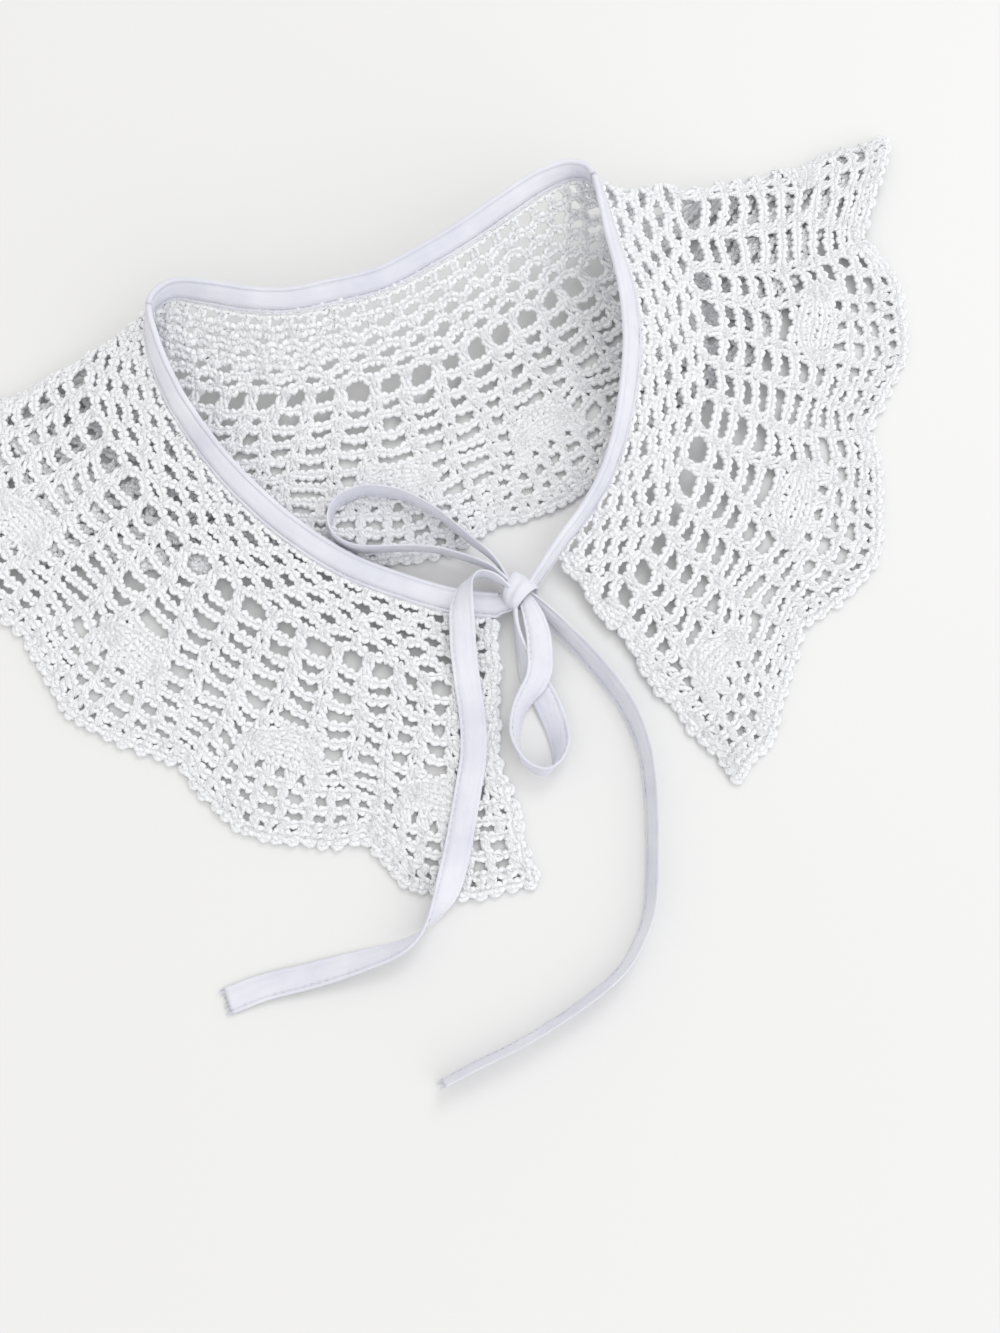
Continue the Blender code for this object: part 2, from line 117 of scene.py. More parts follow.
# The crochet, in rows counted from the tape. MESH lines are loops set like bricks, the
# OPEN line closes the row of large holes, and PILLAR lines carry pairs of trebles.
FOUNDATION = 0.004
MESH_LINES = (0.055, 0.105, 0.155, 0.205, 0.253)
OPEN_LINE = 0.342
PILLAR_LINES = (0.412, 0.482, 0.552, 0.622, 0.690, 0.752)
BORDER_LINES = (0.812, 0.870, 0.925)
EDGE_LINE = 0.972
LOOPS_PER_SCALLOP = 4
LOOP_PITCH = 2 / LOOPS_PER_SCALLOP
BORDER_COUNTS = (6, 8, 8, 14)
PICOTS_PER_SCALLOP = 14
FAN_LINE = 0.622
FAN_CLEARING = 0.40
POINTS_PER_SPOKE = 60

# Arcs of chain across a fan: middle, how far the ends hang below it, and half the width
FAN_ARCS = [(0.640, 0.050, 0.43), (0.678, 0.030, 0.46), (0.715, 0.006, 0.48), (0.752, -0.022, 0.50)]

# Petals that hang below a fan's arcs: their places across it, and their strands
PETALS = np.array([-0.80, -0.28, 0.28, 0.80])
PETAL_STRANDS = (-0.075, 0.0, 0.075)
PETAL_REACH = 0.46
PETAL_FOOT = 0.750
PETAL_TOP = 0.812

# Radius of the yarn in a chain and in a post, and the share by which it varies and that
# is left at the ends of a tube
YARN = 1.06
POST_YARN = 0.98
LUMPS = 0.12
TIP = 0.15

# Length of a chain's stitch, and half the spread of its two legs and of a post's strands
STITCH = 3.1
CHAIN_HALF = 1.26
POST_HALF = 0.90
STEPS_PER_STITCH = 4
MOST_STITCHES = 4096

# The back's mesh draws together at the neck: its last spoke and the share of the depth
# where it does, and how much fuller its stitches are there
DRAWN_LAST = 15.5
DRAWN_DEPTH = 0.21
DRAWN_IN = 0.36

# How much of the scallops' shape reaches up the net (a power), and the least height of
# any yarn or tape above the table
SCALLOP_ONSET = 3
TABLE_CLEARANCE = 0.02


def through(rows, u):
    """Points at u on the smooth curve through rows of numbers (Catmull-Rom)."""
    last = len(rows) - 1
    u = np.asarray(u, dtype=float)
    i = np.clip(np.floor(u).astype(int), 0, last - 1)
    t = (u - i)[..., None]
    padded = np.vstack([2 * rows[0] - rows[1], rows, 2 * rows[-1] - rows[-2]])
    a, b, c, d = (padded[i + k] for k in range(4))
    return b + 0.5 * t * (c - a + t * (2 * a - 5 * b + 4 * c - d + t * (3 * b - a - 3 * c + d)))


def arc_through(rows, u):
    """Points at u on the arcs from notch to notch through each scallop's top."""
    i = np.clip(2 * np.floor(u / 2).astype(int), 0, LAST - 2)
    t = (u - i)[..., None]
    low, top, high = rows[i], rows[i + 1], rows[i + 2]
    return low * (t - 1) * (t - 2) / 2 - top * t * (t - 2) + high * t * (t - 1) / 2


def evened(rows):
    """Rows averaged with their neighbours, apart from those at the ends and the folds."""
    calm = rows.copy()
    calm[1:-1] = (rows[:-2] + 2 * rows[1:-1] + rows[2:]) / 4
    calm[[LEFT_FOLD, RIGHT_FOLD]] = rows[[LEFT_FOLD, RIGHT_FOLD]]
    return calm


EVENED_EDGE = evened(EDGE)


def smooth(t):
    """Eases from 0 at t = 0 to 1 at t = 1."""
    t = np.clip(t, 0, 1)
    return t * t * (3 - 2 * t)


def unit(vectors):
    """The same directions with length 1."""
    return vectors / np.maximum(np.linalg.norm(vectors, axis=-1, keepdims=True), 1e-9)


def run_length(points):
    """Length along a line of points, from the first to each of them."""
    return np.concatenate([[0], np.cumsum(np.linalg.norm(np.diff(points, axis=0), axis=1))])


def taken(at, length, rows):
    """Points or directions at other places on a line, from those at its known lengths."""
    return np.stack([np.interp(at, length, rows[:, k]) for k in range(3)], axis=-1)


def inward(u):
    """Level direction from the neck's sewn edge to the inside of the ring."""
    step = 0.15
    along = through(NECK, u + step) - through(NECK, u - step)
    return unit(np.stack([along[..., 1], -along[..., 0], np.zeros_like(along[..., 0])], axis=-1))


def tape_direction(u):
    """Direction across the tape, from its sewn edge to its fold."""
    reach = through(REACH, u)
    rise = np.sqrt(np.maximum(TAPE_WIDTH ** 2 - reach ** 2, 0))
    return unit(inward(u) * reach + rise * UP)


def layer_height(u, v, back):
    """Height of the net's middle at u, v, as part of the back or of a front."""
    neck = through(NECK, u)[..., 2]
    landing = BACK_LANDING if back else FRONT_LANDING
    power = BACK_FALL_POWER if back else FRONT_FALL_POWER
    height = NET_MIDDLE + (neck - NET_MIDDLE) * np.maximum(0, 1 - v / landing) ** power
    if not back:
        over = np.interp(u, np.arange(LAST + 1), OVER_BACK)
        lift = LAYER_RISE * smooth((over + STEP_OFF_BACK - v) / STEP_OFF_BACK)
        height = np.maximum(height, NET_MIDDLE + lift)
    return height


# Hand-made unevenness: slow waves that shift the stitches and lift the cloth a little
WAVES = [(RNG.uniform(2.0, 9.0), RNG.uniform(5.0, 34.0), RNG.uniform(0, ANY_PHASE),
          RNG.uniform(0, ANY_PHASE)) for _ in range(10)]
WAVE_SIZES = np.array([0.60, 0.60, 0.12])
CALM_DEPTH = 0.1


def unevenness(u, v):
    """How far the net strays at u, v. It is calm where it is sewn to the tape."""
    total = np.zeros(np.broadcast(u, v).shape + (3,))
    for k, (along, down, phase_u, phase_v) in enumerate(WAVES):
        wave = np.sin(u * along + phase_u) * np.sin(v * down + phase_v)
        total[..., k % 3] += wave
    size = smooth(np.asarray(v) / CALM_DEPTH)[..., None] * WAVE_SIZES
    return total * size


def net(u, v):
    """Middle of the net at u, v."""
    u, v = np.broadcast_arrays(np.asarray(u, float), np.asarray(v, float))
    neck = through(NECK, u)
    calm = through(EVENED_EDGE, u)
    scalloped = arc_through(EDGE, u)
    share = v[..., None]
    edge = calm + (scalloped - calm) * share ** SCALLOP_ONSET
    flat = neck[..., :2] + (edge - neck[..., :2]) * share
    sway = np.interp(u, np.arange(LAST + 1), SWAY) * np.sin(math.pi * v)
    front = layer_height(u, v, False)
    back = layer_height(u, v, True)
    height = np.where((u > LEFT_FOLD) & (u < RIGHT_FOLD), back, front)
    for fold in (LEFT_FOLD, RIGHT_FOLD):
        turn = np.clip(np.abs(u - fold) / FOLD_REACH, 0, 1)
        here = np.full_like(u, fold)
        middle = (layer_height(here, v, False) + layer_height(here, v, True)) / 2
        turned = (1 - (1 - turn) ** FOLD_SQUARENESS) ** (1 / FOLD_SQUARENESS)
        height = np.where(turn < 1, middle + (height - middle) * turned, height)
    point = np.stack([flat[..., 0] + sway, flat[..., 1], height], axis=-1)
    point = point + unevenness(u, v)
    point[..., 2] = np.maximum(point[..., 2], NET_MIDDLE - MOST_PRESSED)
    return point


def net_frame(u, v):
    """Points on the net with the normal of the face that is seen from above."""
    step = 0.012
    u, v = np.broadcast_arrays(np.asarray(u, float), np.asarray(v, float))
    point = net(u, v)
    low, high = np.maximum(u - step, 0), np.minimum(u + step, LAST)
    along = net(high, v) - net(low, v)
    near = np.maximum(v - step, 0)
    down = net(u, near + 2 * step) - net(u, near)
    in_back = (u > LEFT_FOLD + FOLD_STUB) & (u < RIGHT_FOLD - FOLD_STUB)
    face = np.where(in_back, 1.0, -1.0)[..., None]
    return point, unit(np.cross(down, along)) * face


def along_scale(u, v):
    """Millimetres of cloth to one spoke at u, v."""
    step = 0.05
    low, high = np.maximum(u - step, 0), np.minimum(u + step, LAST)
    return np.linalg.norm(net(high, v) - net(low, v), axis=-1) / (high - low)


class Yarn:
    """Collects tubes of yarn and turns them into one mesh."""

    def __init__(self):
        self.points = []
        self.quads = []
        self.maps = []
        self.count = 0

    def tubes(self, path, up, radius, sides=5):
        """Adds a closed tube along each row of points in path, (rows, steps, 3)."""
        path = np.asarray(path, float)
        if path.ndim == 2:
            path, up = path[None], np.asarray(up)[None]
        rows, steps = path.shape[:2]
        radius = np.broadcast_to(np.asarray(radius, float), (rows, steps)).copy()
        radius[:, [0, -1]] *= TIP
        lumps = 1 + LUMPS * RNG.standard_normal((rows, steps, sides)).clip(-2, 2)
        along = unit(np.gradient(path, axis=1))
        side = unit(np.cross(along, np.broadcast_to(up, path.shape)))
        top = np.cross(side, along)
        turn = 2 * math.pi * np.arange(sides) / sides
        ring = (side[:, :, None] * np.cos(turn)[None, None, :, None]
                + top[:, :, None] * np.sin(turn)[None, None, :, None])
        points = path[:, :, None] + ring * (radius[:, :, None] * lumps)[..., None]
        row, step, corner = np.meshgrid(np.arange(rows), np.arange(steps - 1), np.arange(sides),
                                        indexing="ij")
        after = (corner + 1) % sides
        base = self.count + (row * steps + step) * sides
        quads = np.stack([base + corner, base + after, base + sides + after, base + sides + corner],
                         axis=-1)
        length = np.zeros((rows, steps))
        length[:, 1:] = np.cumsum(np.linalg.norm(np.diff(path, axis=1), axis=-1), axis=1)
        near = np.broadcast_to(length[:, :-1, None], row.shape)
        far = np.broadcast_to(length[:, 1:, None], row.shape)
        left, right = corner / sides, (corner + 1) / sides
        corners = [(near, left), (near, right), (far, right), (far, left)]
        maps = np.stack([np.stack(pair, axis=-1) for pair in corners], axis=-2)
        self.points.append(points.reshape(-1, 3))
        self.quads.append(quads.reshape(-1, 4))
        self.maps.append(maps.reshape(-1, 2))
        self.count += rows * steps * sides

    def mesh(self, name):
        return quad_object(name, np.concatenate(self.points), np.concatenate(self.quads),
                           np.concatenate(self.maps))


def quad_object(name, points, quads, maps):
    """Smooth-shaded object made of quads, from millimetres in the tables' frame."""
    mesh = bpy.data.meshes.new(name)
    points[:, 2] = np.maximum(points[:, 2], TABLE_CLEARANCE)
    mesh.vertices.add(len(points))
    mesh.vertices.foreach_set("co", ((points - FOOTPRINT_MIDDLE) * MM).ravel())
    mesh.loops.add(quads.size)
    mesh.loops.foreach_set("vertex_index", quads.ravel().astype(np.int32))
    mesh.polygons.add(len(quads))
    mesh.polygons.foreach_set("loop_start", np.arange(0, quads.size, 4, dtype=np.int32))
    layer = mesh.uv_layers.new(name="along_yarn")
    layer.data.foreach_set("uv", maps.ravel())
    mesh.update(calc_edges=True)
    mesh.validate()
    mesh.shade_smooth()
    item = bpy.data.objects.new(name, mesh)
    bpy.context.scene.collection.objects.link(item)
    return item


# Ropes of yarn on the net


def drawn_in(u, v):
    """How much fuller the stitches stand where the back's mesh draws together at the neck."""
    ease = 0.05
    along = smooth((u - LEFT_FOLD) / 0.5) * smooth((DRAWN_LAST - u) / 2.5)
    return 1 + DRAWN_IN * along * smooth(v / ease) * smooth((DRAWN_DEPTH - v) / ease)


def chain(rows, hooks, u, v, lift=0.0):
    """A chain of stitches along the line u, v: two legs over a hidden third strand."""
    length = run_length(net(u, v))
    total = length[-1]
    stitches = max(int(round(total / STITCH)), 1)
    steps = stitches * STEPS_PER_STITCH + 1
    at = np.linspace(0, total, steps)
    u, v = np.interp(at, length, u), np.interp(at, length, v)
    path, up = net_frame(u, v)
    side = unit(np.cross(unit(np.gradient(path, axis=0)), up))
    # Stitches differ in length and width, and each swells to its plump end
    phase = np.linspace(0, stitches, steps) + 0.18 * np.sin(at * 0.21 + total)
    share = phase % 1.0
    index = np.floor(phase).astype(int) % MOST_STITCHES
    fat = 1 + 0.22 * RNG.standard_normal(MOST_STITCHES)[index]
    plump = np.sin(math.pi * share ** 1.4)
    full = drawn_in(u, v)
    spread = CHAIN_HALF * full * np.clip(fat, 0.6, 1.5) * (0.34 + 0.66 * plump)
    rise = 0.40 * plump + lift
    thick = YARN * full * (0.80 + 0.26 * plump)
    for leg in (-1, 1):
        wander = 0.10 * np.sin(at * 0.83 + leg)
        strand = path + side * (leg * spread + wander)[:, None] + up * rise[:, None]
        rows.tubes(strand, up, thick)
    low = path - up * (0.26 - lift)
    hooks.tubes(low[::2], up[::2], YARN, sides=4)


def posts(yarn, base_u, base_v, top_u, top_v, wrap=0.9, twist=1.4, half=POST_HALF, radius=POST_YARN,
          steps=8):
    """Treble stitches: two twisted strands from a line that they wrap to the next line."""
    base_u, base_v, top_u, top_v = np.broadcast_arrays(
        *(np.atleast_1d(np.asarray(a, float)) for a in (base_u, base_v, top_u, top_v)))
    t = np.linspace(0, 1, steps)[None]
    # A post starts below its line, wraps it, and ends inside the line above
    start, finish = -0.16, 1.06
    share = start + (finish - start) * t
    u = base_u[:, None] + (top_u - base_u)[:, None] * share
    v = base_v[:, None] + (top_v - base_v)[:, None] * share
    path, up = net_frame(u, v)
    side = unit(np.cross(unit(np.gradient(path, axis=1)), up))
    lift = wrap * np.exp(-(share / 0.13) ** 2) + 0.28 * np.sin(math.pi * np.clip(share, 0, 1))
    start_angle = RNG.uniform(-0.5, 0.5, len(base_u))[:, None]
    angle = 2 * math.pi * twist * t + start_angle
    spread = (half * drawn_in(base_u, base_v) * (1 + 0.12 * RNG.standard_normal(len(base_u))))[:, None]
    for leg in (0.0, math.pi):
        strand = (path + side * (spread * np.cos(angle + leg))[..., None]
                  + up * (lift + 0.40 * np.sin(angle + leg))[..., None])
        yarn.tubes(strand, up, radius, sides=4)


def knots(yarn, u, v, size):
    """Small loops of yarn round a chain where the next row is hooked on."""
    u, v = np.broadcast_arrays(np.atleast_1d(np.asarray(u, float)), np.atleast_1d(np.asarray(v, float)))
    centre, up = net_frame(u, v)
    step = 0.01
    down = unit(net(u, v + step) - net(u, v - step))
    across = np.cross(up, down)
    turn = np.linspace(-0.5, 0.5, 6)[None]
    lean = RNG.uniform(-0.5, 0.5, len(u))[:, None]
    reach = 1.6 * size
    lift = 0.55
    for shift in (-0.70, 0.70):
        path = (centre[:, None]
                + down[:, None] * (turn * 2 * reach)[..., None]
                + across[:, None] * (shift * size + lean * turn * reach)[..., None]
                + up[:, None] * (lift * np.cos(math.pi * turn) + 0.25)[..., None])
        yarn.tubes(path, np.broadcast_to(up[:, None], path.shape), YARN * 0.95)


def wave_line(first, last, base, bow, phase):
    """Finely spaced u and v of a line whose loops bow outward by bow millimetres."""
    u = np.linspace(first, last, int((last - first) * POINTS_PER_SPOKE) + 1)
    wave = np.cos(2 * math.pi * (u - phase) * LOOPS_PER_SCALLOP / 2)
    depth = np.linalg.norm(net(u, 1.0) - net(u, 0.0), axis=-1)
    return u, base + bow * wave / depth


def spots(first, last, offset, pitch):
    """Evenly pitched places along the neck that a panel holds."""
    margin = 0.02
    count = int(LAST / pitch) + 2
    u = offset + pitch * np.arange(-1, count)
    return u[(u >= first + margin) & (u < last - margin + 1e-6)]


def jitter(u, size):
    """Places shifted a little at random, as hand-made stitches are."""
    return u + size * RNG.standard_normal(np.shape(u))


def fan_push(u, v):
    """How the pillars beside a fan give way to it, in spokes."""
    axis = 2 * np.round((u - 1) / 2) + 1
    away = u - axis
    width = 0.13 * smooth((v - 0.52) / 0.16) * np.where(np.abs(away) < 0.999, 1.0, 0.0)
    return u + np.sign(away) * width * np.exp(-((np.abs(away) - 0.25) / 0.25) ** 2)


def worked_ends(first, last):
    """Where the rows of a section start and stop, at a front edge or in a fold."""
    starts_at = {0: FRONT_HEM, LEFT_FOLD: FOLD_STUB + FOLD_GAP, RIGHT_FOLD: -FOLD_STUB + FOLD_GAP}
    ends_at = {LEFT_FOLD: FOLD_STUB - FOLD_GAP, RIGHT_FOLD: -FOLD_STUB - FOLD_GAP, LAST: -FRONT_HEM}
    return first + starts_at[first], last + ends_at[last]


def net_piece(name, first, last):
    """One section of the net: its rows of chain, and the stitches that join them.

    Its functions put a stitch a little past the line that it is hooked on, by the small
    numbers that they add to that line's v.
    """
    rows, hooks = Yarn(), Yarn()
    ends = worked_ends(first, last)

    # First row, worked round the neck edge inside the tape
    u = np.linspace(*ends, int((last - first) * 40))
    chain(rows, hooks, u, np.full_like(u, FOUNDATION))

    brick_mesh(rows, hooks, first, last, ends)
    pillars = spots(first, last, LOOP_PITCH / 2, LOOP_PITCH)
    large_holes(rows, hooks, pillars, ends)
    paired_trebles(rows, hooks, pillars, ends)
    fans(rows, hooks, first, last)
    border_rows(rows, hooks, first, last, ends)
    picots(hooks, jitter(spots(first, last, 0.07, 2 / PICOTS_PER_SCALLOP), 0.012))
    if first == 0:
        front_edge(rows, hooks, first, first + FRONT_BORDER)
    if last == LAST:
        front_edge(rows, hooks, last, last - FRONT_BORDER)
    return rows.mesh(name + "_rows"), hooks.mesh(name + "_stitches")


def brick_mesh(rows, hooks, first, last, ends):
    """Lines of loops set like bricks: each hangs between knots on the line before."""
    for k, line in enumerate(MESH_LINES):
        phase = 0.0 if k % 2 else LOOP_PITCH / 2
        bow = 0.85 if k else 0.55
        chain(rows, hooks, *wave_line(*ends, line, bow, phase))
        hooked = jitter(spots(first, last, phase + LOOP_PITCH / 2, LOOP_PITCH), 0.01)
        before = MESH_LINES[k - 1] if k else FOUNDATION + 0.01
        lean = RNG.uniform(-0.03, 0.03, len(hooked))
        posts(hooks, hooked, before + 0.006, hooked + lean, line - 0.004, twist=0.8, half=0.85)
        knots(hooks, hooked, before + 0.012, size=1.3)


def large_holes(rows, hooks, pillars, ends):
    """The row of large holes, which the open line closes."""
    chain(rows, hooks, *wave_line(*ends, OPEN_LINE, 0.5, 0.0))
    base = jitter(pillars, 0.01)
    scale = along_scale(pillars, np.full_like(pillars, OPEN_LINE))
    foot, arm = 0.55 / scale, 1.45 / scale
    for way in (-1, 1):
        lean = RNG.uniform(-0.01, 0.01, len(base))
        posts(hooks, base + way * foot, MESH_LINES[-1] + 0.008, base + way * arm + lean, OPEN_LINE)
    knots(hooks, base, MESH_LINES[-1] + 0.012, size=1.3)


def paired_trebles(rows, hooks, pillars, ends):
    """Rows of trebles in pairs, each pair hooked between the two below it."""
    lines = (OPEN_LINE,) + PILLAR_LINES
    for low, high in zip(lines, lines[1:]):
        u, v = wave_line(*ends, high, 0.55, 0.0)
        if high > FAN_LINE:
            for part_u, part_v in runs(u, v, from_axis(u) > FAN_CLEARING):
                chain(rows, hooks, part_u, part_v)
        else:
            chain(rows, hooks, u, v)
        low_u, high_u = fan_push(pillars, low), fan_push(pillars, high)
        scale = along_scale(pillars, np.full_like(pillars, high))
        foot, arm = 0.80 / scale, 2.35 / scale
        lean = 0.010 * RNG.standard_normal(len(pillars))
        for way in (-1, 1):
            posts(hooks, low_u + way * foot, low + 0.004, high_u + way * arm + lean, high, wrap=0.75)
        knots(hooks, low_u, low + 0.006, size=1.1)


def border_rows(rows, hooks, first, last, ends):
    """Rows that follow the scallops, outside the trebles and the fans."""
    lines = (PILLAR_LINES[-1],) + BORDER_LINES + (EDGE_LINE,)
    for low, high, count in zip(lines, lines[1:], BORDER_COUNTS):
        u = np.linspace(*ends, int((last - first) * POINTS_PER_SPOKE))
        chain(rows, hooks, u, high + 0.004 * np.cos(math.pi * u * count))
        at = jitter(spots(first, last, 1 / count, 2 / count), 0.014)
        if low == PILLAR_LINES[-1]:
            at = at[from_axis(at) > FAN_CLEARING + 0.06]
        spread = 0.016 if count < 10 else 0.010
        for way in (-1, 1):
            posts(hooks, at + way * 0.5 * spread, low, at + way * spread, high, wrap=0.7, twist=1.1)


def from_axis(u):
    """Distance in spokes from the nearest scallop's axis."""
    return np.abs((u % 2) - 1)


def runs(u, v, keep):
    """Splits a line into its stretches where keep holds."""
    cuts = np.flatnonzero(np.diff(keep.astype(int))) + 1
    for part in np.split(np.arange(len(u)), cuts):
        if keep[part[0]] and len(part) > 6:
            yield u[part], v[part]


def fans(rows, hooks, first, last):
    """A fan on each scallop's axis, trebles from one bowed chain, with petals below."""
    axes = np.arange(1, LAST, 2)
    for axis in axes[(axes >= first) & (axes <= last)]:
        # A fold cuts its scallop's fan in two
        start = 0.0 if axis == first else -1.0
        stop = 0.0 if axis == last else 1.0
        lean = RNG.uniform(-0.03, 0.03)
        fine = np.linspace(start, stop, 24)
        at = np.linspace(-1, 1, 11)
        at = at[(at >= start) & (at <= stop)]
        for middle, hang, width in FAN_ARCS:
            chain(rows, hooks, axis + lean + width * fine, middle + hang * fine ** 2, lift=0.25)
        for low, high in zip(FAN_ARCS, FAN_ARCS[1:]):
            stray = 0.01 * RNG.standard_normal(len(at))
            posts(hooks, axis + lean + low[2] * at, low[0] + low[1] * at ** 2,
                  axis + lean + high[2] * at + stray, high[0] + high[1] * at ** 2,
                  wrap=1.0, twist=0.9, half=0.70, radius=0.92, steps=5)
        petals = PETALS[(PETALS >= start) & (PETALS <= stop)]
        for strand in PETAL_STRANDS:
            place = axis + lean + PETAL_REACH * petals
            posts(hooks, place + strand * 0.8, PETAL_FOOT - 0.02 * petals ** 2,
                  place + strand * 0.35, PETAL_TOP, wrap=0.6, twist=1.2)


def bumps(yarn, u, v, outward, tall, wide):
    """Small closed loops of chain at u, v, standing out from the net.

    Tall and wide are the least and the most that a loop measures, in millimetres.
    """
    centre, up = net_frame(u, v)
    across = np.cross(up, outward)
    turn = np.linspace(-0.62, 0.62, 9)[None] * math.pi
    tall = RNG.uniform(*tall, len(u))[:, None]
    wide = RNG.uniform(*wide, len(u))[:, None]
    for inner, lift in ((1.0, 0.0), (0.55, 0.45)):
        path = (centre[:, None]
                + outward[:, None] * (tall * inner * (np.cos(turn) + 0.25))[..., None] * 0.8
                + across[:, None] * (wide * inner * np.sin(turn))[..., None]
                + up[:, None] * (lift + 0.25 * np.cos(turn * 3))[..., None])
        yarn.tubes(path, np.broadcast_to(up[:, None], path.shape), YARN * 1.02)


def picots(yarn, u):
    """Bumps of the scalloped edge."""
    v = np.full_like(u, EDGE_LINE)
    outward = unit(net(u, v + 0.01) - net(u, v - 0.01))
    bumps(yarn, u, v, outward, (2.3, 3.2), (1.5, 2.0))


def front_edge(rows, hooks, outer, inner):
    """Border of a front edge: a rope down the ends of the rows, with bumps along it."""
    in_from_edge = 1.7
    v = np.linspace(0.0, 0.985, 120)
    scale = along_scale(np.full_like(v, (outer + inner) / 2), v)
    way = 1 if inner > outer else -1
    near = outer + way * (in_from_edge + 0.6 * np.sin(v * 58)) / scale
    chain(rows, hooks, near, v, lift=0.1)
    count = 23
    bump_v = np.linspace(0.025, 0.955, count) + RNG.uniform(-0.010, 0.010, count)
    stray = RNG.uniform(-0.7, 0.7, count)
    bump_u = outer + way * (in_from_edge + stray) / np.interp(bump_v, v, scale)
    outward = unit(net(bump_u, bump_v) - net(bump_u + way * 0.02, bump_v))
    bumps(hooks, bump_u, bump_v, outward, (1.8, 3.0), (1.5, 2.4))


# Tape

TAPE_WIDTH = 9.4

# Runs of tape past the net's front edges, up to the knot: sewn edge, then fold edge
LEFT_TAPE_END = [(33.4, -19.8, 4.8, 32.6, -12.4, 6.8), (38.2, -18.4, 5.2, 36.4, -12.2, 6.8)]
RIGHT_TAPE_END = [(50.6, -1.6, 5.4, 49.6, -0.9, 14.2), (47.0, -7.0, 4.8, 46.0, -6.3, 13.0),
                  (43.8, -11.6, 5.0, 42.8, -10.9, 11.0)]

# Stations of the ties: x y z of the tape's middle, its width and its tilt from flat
BOW_LOOP_LEFT = [
    (38.6, -10.6, 8.2, 4.0, 78), (36.2, -7.4, 8.6, 5.0, 80), (30.6, 1.0, 8.4, 7.6, 84),
    (21, 9.5, 8.0, 9.2, 86), (9, 20, 7.8, 9.4, 88), (-4, 27, 7.6, 9.4, 90),
    (-17, 28.5, 7.6, 9.4, 90), (-26.5, 24.5, 7.6, 9.4, 90), (-30, 16, 7.6, 9.4, 90),
    (-26.5, 8.5, 7.8, 9.4, 92), (-18, 4.8, 8.0, 9.4, 97), (-5, 5.0, 8.2, 9.4, 100),
    (8, 4.5, 8.6, 9.2, 100), (20, 1.0, 9.2, 8.4, 98), (28.8, -2.9, 9.8, 6.6, 94),
    (33.2, -6.3, 9.8, 5.0, 90), (37.4, -10.2, 9.2, 4.0, 90),
]
BOW_LOOP_DOWN = [
    (41.6, -14.4, 8.8, 4.2, 10), (43.1, -17.5, 9.2, 6.0, 8), (45.2, -22.8, 9.0, 7.8, 0),
    (46.7, -28.9, 8.8, 8.8, -4), (47.2, -35.7, 8.8, 9.2, -8), (47.2, -41.3, 8.6, 9.4, -18),
    (45.7, -46.7, 7.8, 9.4, -36), (42.6, -51.1, 6.4, 9.4, -55), (39.9, -55.9, 5.2, 9.4, -62),
    (38.6, -61.8, 5.0, 9.4, -64), (38.6, -67.7, 5.2, 9.4, -72), (40.5, -73.6, 5.4, 9.4, -84),
    (44.2, -77.7, 5.4, 9.4, -90), (49.0, -79.1, 5.4, 9.4, -90), (52.9, -75.8, 5.2, 9.4, -74),
    (54.2, -69.3, 4.4, 9.4, -48), (53.3, -62.9, 3.8, 9.4, -36), (51.1, -56.3, 3.2, 9.4, -24),
    (48.5, -50.2, 2.8, 9.4, -16), (44.8, -44.2, 3.3, 9.4, -30), (41.9, -37.7, 4.5, 9.0, -55),
    (40.0, -30.8, 5.2, 8.2, -74), (38.8, -24.2, 5.8, 7.0, -84), (38.6, -18.3, 6.6, 5.5, -88),
    (39.2, -14.6, 7.2, 4.0, -88),
]
TAIL_LEFT = [
    (38.4, -12.2, 9.4, 4.0, 76), (35.9, -10.9, 10.4, 5.0, 80), (32.9, -9.0, 11.6, 6.8, 86),
    (29.0, -7.8, 12.8, 8.6, 88), (24.9, -7.8, 13.6, 9.2, 82), (21.8, -10.4, 14.0, 9.4, 66),
    (20.2, -14.8, 13.6, 9.4, 46), (19.4, -20.5, 12.4, 9.4, 24), (19.6, -27.3, 10.2, 9.4, 10),
    (20.0, -34.4, 7.8, 9.4, 0), (21.3, -45.1, 5.6, 9.4, 0), (23.4, -60, 4.3, 9.4, 0),
    (23.7, -72, 4.1, 9.4, 0), (22.1, -84, 4.0, 9.4, 0), (18.4, -106.6, 4.4, 9.4, 0),
    (15.7, -118.9, 6.4, 9.4, -22), (13.0, -125.8, 6.7, 9.4, -55), (9.0, -132.5, 5.8, 9.4, -88),
    (3.4, -137.9, 5.3, 9.4, -118), (-3.3, -141.5, 4.6, 9.4, -135), (-12.4, -144.3, 3.7, 9.4, -148),
    (-22.5, -147.2, 2.8, 9.4, -160), (-32.5, -149.8, 2.0, 9.4, -168),
    (-45.9, -153.0, 1.3, 9.4, -174), (-58.1, -157.6, 0.8, 9.4, -180),
]
TAIL_RIGHT = [
    (41.8, -13.2, 7.0, 4.0, 50), (44.3, -14.1, 6.3, 5.0, 50), (54.0, -23.5, 4.8, 7.4, 54),
    (66, -37, 4.8, 8.6, 58), (77, -52.5, 5.0, 9.4, 62), (83.5, -69, 5.1, 9.4, 66),
    (85.5, -87, 5.1, 9.4, 68), (85.5, -107, 5.1, 9.4, 68), (84.0, -126, 5.1, 9.4, 68),
    (80.0, -138, 5.1, 9.4, 68), (73.0, -149, 5.1, 9.4, 68), (59.5, -160, 5.1, 9.4, 68),
    (42, -171, 5.1, 9.4, 68), (25, -179.5, 5.1, 9.4, 68), (14.5, -185, 5.1, 9.4, 68),
]

